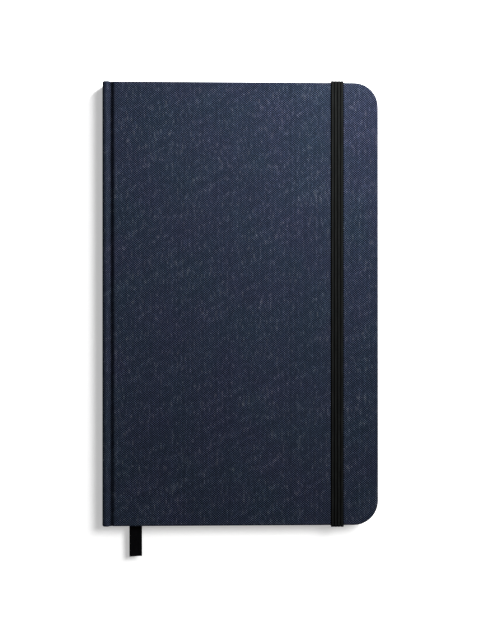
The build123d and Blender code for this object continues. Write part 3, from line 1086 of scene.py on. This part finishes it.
def ribbon():
    """The bookmark, from the headband to its loose end below the tail."""
    low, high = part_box("bookmark_ribbon")
    end_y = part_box("ribbon_tail")[0].y
    half_width = RIBBON_WIDTH / 2
    head = Vector((low.x + half_width, high.y))
    bend = Vector((high.x - half_width, low.y))
    middle_z = (low.z + high.z) / 2
    rings, path = [], []
    length = 0.0
    for i in range(RIBBON_STEPS + 1):
        y = head.y + (end_y - head.y) * (i / RIBBON_STEPS)
        share = min(1.0, (head.y - y) / (head.y - bend.y))
        x = head.x + (bend.x - head.x) * share
        loose = max(0.0, (bend.y - y) / (bend.y - end_y))
        z = middle_z - RIBBON_DROOP * loose**2
        if path:
            length += (Vector((x, y, z)) - path[-1]).length
        path.append(Vector((x, y, z)))
        rings.append(ribbon_ring(x, y, z, high.z - low.z, loose, length))
    piece = lofted_piece("ribbon_bookmark", rings, RIBBON_LOOK, 40)
    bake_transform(piece)
    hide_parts("bookmark_ribbon", "ribbon_tail")


# ---------------------------------------------------------------- CAD nodes that stay
def repaint(node, material):
    """Gives a CAD node that keeps its shape its own material."""
    for slot in frame["nodes"][node].material_slots:
        slot.material = material


def kept_nodes():
    """The boards, flyleaves and the binding's inner parts keep their CAD shape."""
    looks = {
        "back_board": BOARD_LOOK,
        "front_board": BOARD_LOOK,
        "spine_board": BOARD_LOOK,
        "back_flyleaf": ENDPAPER_LOOK,
        "front_flyleaf": ENDPAPER_LOOK,
        "spine_liner": LINER_LOOK,
        "mull": MULL_LOOK,
        "sewing_thread": THREAD_LOOK,
    }
    for node, material in looks.items():
        repaint(node, material)


# ---------------------------------------------------------------- studio
def floor():
    """A plain white light table."""
    half = TABLE_HALF
    mesh = bpy.data.meshes.new("studio_floor")
    corners = [(-half, -half, 0), (half, -half, 0), (half, half, 0), (-half, half, 0)]
    mesh.from_pydata(corners, [], [(0, 1, 2, 3)])
    table = bpy.data.objects.new("studio_floor", mesh)
    table.location.z = -TABLE_DROP
    bpy.context.scene.collection.objects.link(table)
    g = Graph("studio_floor")
    grain = g.noise(g.vector(*g.place()), TABLE_GRAIN)
    color = g.shade(TABLE_COLOR, g.spread(grain, *MOST, *TABLE_TONES))
    g.link((1.0, 1.0, 1.0, 1.0), g.shader.inputs["Emission Color"])
    g.link(TABLE_GLOW, g.shader.inputs["Emission Strength"])
    mesh.materials.append(g.finish(color, roughness=0.9, specular=0.1))


def area_light(name, place, target, size, power):
    """A round soft light that the camera doesn't see."""
    light = bpy.data.lights.new(name, "AREA")
    light.shape = "DISK"
    light.size = size
    light.energy = power
    lamp = bpy.data.objects.new(name, light)
    lamp.location = place
    lamp.rotation_euler = (Vector(target) - Vector(place)).to_track_quat("-Z", "Y").to_euler()
    lamp.visible_camera = False
    bpy.context.scene.collection.objects.link(lamp)


def camera():
    """Looks down at the cover, a little from the spine's side."""
    target = Vector((AIM_X, AIM_Y, TOP))
    tilt = math.radians(TILT)
    back = Vector((-math.sin(tilt), 0.0, math.cos(tilt)))
    right = Vector((0.0, 1.0, 0.0)).cross(back).normalized()
    up = back.cross(right)
    lens = bpy.data.cameras.new("camera")
    lens.sensor_width = SENSOR
    lens.lens = SENSOR * DISTANCE / VISIBLE_HEIGHT
    lens.clip_start = CLIP_START
    view = bpy.data.objects.new("camera", lens)
    turn = Matrix((right, up, back)).transposed().to_4x4()
    view.matrix_world = Matrix.Translation(target + back * DISTANCE) @ turn
    bpy.context.scene.collection.objects.link(view)
    bpy.context.scene.camera = view


def studio():
    """The table, the lights and the camera."""
    floor()
    world = bpy.data.worlds.new("studio")
    world.use_nodes = True
    background = world.node_tree.nodes["Background"]
    background.inputs[0].default_value = (1.0, 1.0, 1.0, 1.0)
    background.inputs[1].default_value = AMBIENT
    bpy.context.scene.world = world
    area_light("key", KEY_PLACE, (0, 0, 0), KEY_SIZE, KEY_POWER)
    area_light("head_light", HEAD_PLACE, HEAD_AIM, HEAD_SIZE, HEAD_POWER)
    camera()
    bpy.context.scene.view_settings.view_transform = "Standard"
    bpy.context.scene.view_settings.look = "None"


cover_cloth()
page_sections()
endpapers()
headband("headband")
headband("tailband")
elastic()
ribbon()
kept_nodes()
studio()
